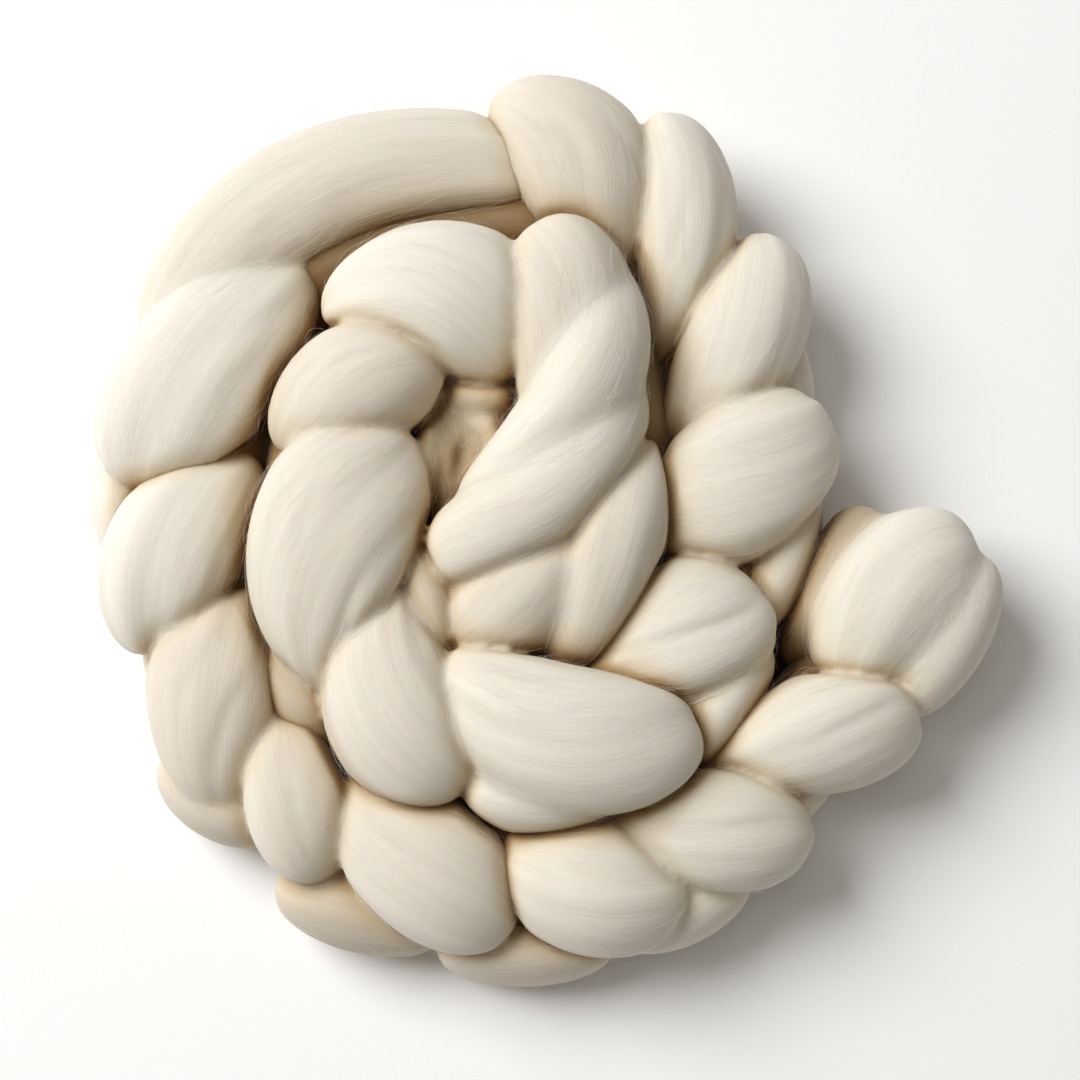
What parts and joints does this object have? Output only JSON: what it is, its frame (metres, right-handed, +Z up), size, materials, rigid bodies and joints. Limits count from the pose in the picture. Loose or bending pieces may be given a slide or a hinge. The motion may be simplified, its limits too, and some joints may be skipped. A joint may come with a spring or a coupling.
{
  "type": "wool roving",
  "caption": "Length of undyed combed wool top, hand-chained and laid down as a flat spiral of about two turns with a short loose end at the side.",
  "frame": {"origin": "on the surface that the wool rests on, in the middle of its outline in plan", "axes": "+Z up, +X towards the side where the loose end of the chain reaches out, +Y towards the side of the long smooth loop, so -Y is the front"},
  "size_m": [0.3736, 0.3752, 0.0838],
  "materials": {
    "wool": "matt, fine combed fibres lying along the strand"
  },
  "bodies": {
    "root": {"roving": "wool"}
  },
  "joints": []
}
